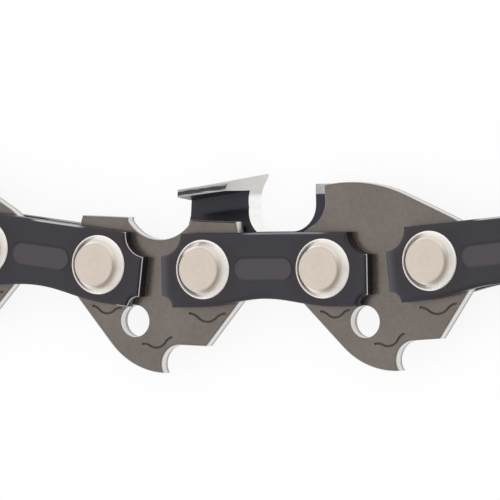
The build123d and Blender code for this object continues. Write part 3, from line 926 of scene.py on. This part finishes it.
def tooth_slots(own, triangles, side):
    """Finish of each triangle of a cutter: 0 oxide, 1 plating, 2 ground by the round file, 3 inner edge.

    A triangle is ground where its corners lie one file radius from the file's axis. It is plated
    where it faces out or up on the tooth, or along the top plate's inner edge.
    """
    points = own * (1, 1, side)
    axis = np.array((sin(FILING_ANGLE), 0, cos(FILING_ANGLE)))
    gap = sqrt(FILE_RADIUS**2 - (TOOTH_CORNER - FILE_HEIGHT) ** 2) / cos(FILING_ANGLE)
    away = points - (TOOTH_FRONT + gap, FILE_HEIGHT, WORKING_SIDE)
    off_axis = np.linalg.norm(away - np.outer(away @ axis, axis), axis=1)
    ground = (np.abs(off_axis - FILE_RADIUS) < GROUND_NEAR)[triangles].all(axis=1)
    corners = points[triangles]
    normal = np.cross(corners[:, 1] - corners[:, 0], corners[:, 2] - corners[:, 0]) * side
    normal /= np.linalg.norm(normal, axis=1, keepdims=True)
    middle = corners.mean(axis=1)
    tooth = (middle[:, 0] < TOOTH_FRONT + TOOTH_REACH) & (middle[:, 1] > TOOTH_ROOT)
    outside = (normal[:, 2] > FACING_OUT) & (middle[:, 2] > OUTSIDE_FROM)
    top = (normal[:, 1] > FACING_TOP) & (middle[:, 1] > TOP_PLATE_UNDERSIDE)
    inner_edge = (normal[:, 2] < FACING_IN) & (middle[:, 2] < INNER_EDGE_FROM)
    plated = tooth & (outside | top)
    return np.select((ground, tooth & inner_edge, plated), (2, 3, 1), 0).astype(np.int32)


class CHAIN_OT_cutters(bpy.types.Operator):
    """Make the cutters, with plated teeth and ground edges"""

    bl_idname = "chain.cutters"
    bl_label = "Cutters"

    def execute(self, context):
        colours = palette()
        nodes = nodes_of("left_cutter_link", "right_cutter_link")
        _, _, spacing = link_frame(nodes[0])
        oxide, plating = cutter_finish(colours, spacing), plating_finish(colours)
        finishes = [oxide, plating, ground_finish(colours), inner_edge_finish(colours)]
        for node in nodes:
            own, triangles = max(packed_solids(node), key=lambda solid: solid[0][:, 1].max())
            slots = tooth_slots(own, triangles, cutter_side(node))
            name = f"{node}_cutter"
            cutter = finish_piece(name, node, own, triangles, finishes, "cutter_steel", slots)
            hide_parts(node)
        return {"FINISHED"}


def seen_share(finish, path):
    """1 for what is looked at, straight, mirrored or through glass, and 0 for scattered light."""
    mirrored = finish.math("MAXIMUM", path["Is Glossy Ray"], path["Is Transmission Ray"])
    return finish.math("MAXIMUM", path["Is Camera Ray"], mirrored)


def studio_floor(colours):
    """White floor: plain for the light that it scatters, glowing for what looks at it, shadow kept."""
    finish = Finish("studio_floor")
    seen = seen_share(finish, finish.node("LightPath").outputs)
    plain = finish.node("BsdfDiffuse", (*colours["floor"], 1))
    glow = finish.node("Emission", (1, 1, 1, 1))
    finish.feed(glow.inputs["Strength"], finish.product(seen, FLOOR_GLOW))
    both = finish.node("AddShader", plain.outputs[0], glow.outputs[0])
    finish.node("OutputMaterial", both.outputs[0])
    return finish.material


class CHAIN_OT_studio(bpy.types.Operator):
    """Set up the floor, the light and the camera"""

    bl_idname = "chain.studio"
    bl_label = "Studio"

    def execute(self, context):
        scene, studio = context.scene, context.scene.chain_studio
        scene.view_settings.view_transform = "Standard"
        self.add_floor(scene)
        self.add_world(scene, studio)
        self.add_lights(scene, studio)
        self.add_camera(scene, studio)
        return {"FINISHED"}

    def add_floor(self, scene):
        """A square floor on which the chain lies."""
        mesh = bpy.data.meshes.new("floor")
        square = (-1, -1), (1, -1), (1, 1), (-1, 1)
        corners = [(x * FLOOR_REACH, y * FLOOR_REACH, 0) for x, y in square]
        mesh.from_pydata(corners, [], [(0, 1, 2, 3)])
        mesh.materials.append(studio_floor(palette()))
        floor = bpy.data.objects.new("floor", mesh)
        scene.collection.objects.link(floor)
        floor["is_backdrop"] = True

    def add_world(self, scene, studio):
        """White surroundings, with a dim gap beside the overhead panel that only reflections show."""
        world = bpy.data.worlds.new("studio")
        world.use_nodes = True
        sky = Finish("studio_sky", world.node_tree)
        path = sky.node("LightPath").outputs
        strength = sky.between(seen_share(sky, path), studio.world_light, 1.0)
        way = sky.node("TexCoord").outputs["Generated"]
        along, across, _ = sky.split(way)
        panel = sky.node("VectorMath", way, PANEL_MIDDLE, operation="DOT_PRODUCT").outputs["Value"]
        gap = sky.product(*(sky.ramp(panel, *map(cos, edge)) for edge in (GAP_INSIDE, GAP_OUTSIDE)))
        side = sky.product(sky.ramp(along, *GAP_ALONG), sky.ramp(across, *GAP_ACROSS))
        dim = sky.product(gap, side, path["Is Glossy Ray"])
        light = sky.node("Background", sky.mix(dim, (1, 1, 1), GAP_LIGHT))
        sky.feed(light.inputs["Strength"], strength)
        sky.node("OutputWorld", light.outputs[0])
        scene.world = world

    def add_lights(self, scene, studio):
        """A round panel above the chain, facing the middle of the loop."""
        lamp = bpy.data.lights.new("overhead_panel", "AREA")
        lamp.shape, lamp.size, lamp.energy = "DISK", LAMP_WIDTH, studio.key_power
        panel = bpy.data.objects.new("overhead_panel", lamp)
        panel.location = LAMP_PLACE
        panel.rotation_euler = (-LAMP_PLACE).to_track_quat("-Z", "Y").to_euler()
        scene.collection.objects.link(panel)

    def add_camera(self, scene, studio):
        """Look at the photographed cutter's link from above, with the chain's outside at the top."""
        lean, pitch = studio.camera_lean, studio.camera_pitch
        back = Vector((sin(lean) * cos(pitch), sin(pitch), cos(lean) * cos(pitch)))
        turn = Matrix.Rotation(-studio.camera_roll, 3, back)
        right = turn @ Vector((0, 1, 0)).cross(back).normalized()
        up = back.cross(right)
        target = Vector(rivet_axes()[0]) + right * studio.view_right + up * studio.view_up
        data = bpy.data.cameras.new("camera")
        data.sensor_width = SENSOR_WIDTH
        data.lens = SENSOR_WIDTH * studio.camera_distance / studio.view_width
        camera = bpy.data.objects.new("camera", data)
        axes = Matrix((right, up, back)).transposed().to_4x4()
        camera.matrix_world = Matrix.Translation(target + back * studio.camera_distance) @ axes
        scene.collection.objects.link(camera)
        scene.camera = camera


class CHAIN_PT_panel(bpy.types.Panel):
    """Sidebar panel with the steps that dress the chain"""

    bl_idname = "CHAIN_PT_panel"
    bl_label = "Saw chain"
    bl_space_type = "VIEW_3D"
    bl_region_type = "UI"
    bl_category = "Saw chain"

    def draw(self, context):
        for operator in OPERATORS:
            self.layout.operator(operator.bl_idname)
        scene = context.scene
        for group in (scene.chain_sizes, scene.chain_colours, scene.chain_studio):
            box = self.layout.box()
            for key in group.__annotations__:
                box.prop(group, key)


OPERATORS = (
    CHAIN_OT_drive_links,
    CHAIN_OT_tie_straps,
    CHAIN_OT_rivets,
    CHAIN_OT_cutters,
    CHAIN_OT_studio,
)
CLASSES = (ChainSizes, ChainColours, ChainStudio, *OPERATORS, CHAIN_PT_panel)


def register():
    for cls in CLASSES:
        bpy.utils.register_class(cls)
    bpy.types.Scene.chain_sizes = PointerProperty(type=ChainSizes)
    bpy.types.Scene.chain_colours = PointerProperty(type=ChainColours)
    bpy.types.Scene.chain_studio = PointerProperty(type=ChainStudio)


def unregister():
    del bpy.types.Scene.chain_studio
    del bpy.types.Scene.chain_colours
    del bpy.types.Scene.chain_sizes
    for cls in reversed(CLASSES):
        bpy.utils.unregister_class(cls)


def main():
    """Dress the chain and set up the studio."""
    register()
    bpy.ops.chain.drive_links()
    bpy.ops.chain.tie_straps()
    bpy.ops.chain.rivets()
    bpy.ops.chain.cutters()
    bpy.ops.chain.studio()
    boxes = {"cad": CAD_BOX, "visual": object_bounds()}
    {key: [list(corner) for corner in box] for key, box in boxes.items()}


if __name__ == "__main__":
    main()
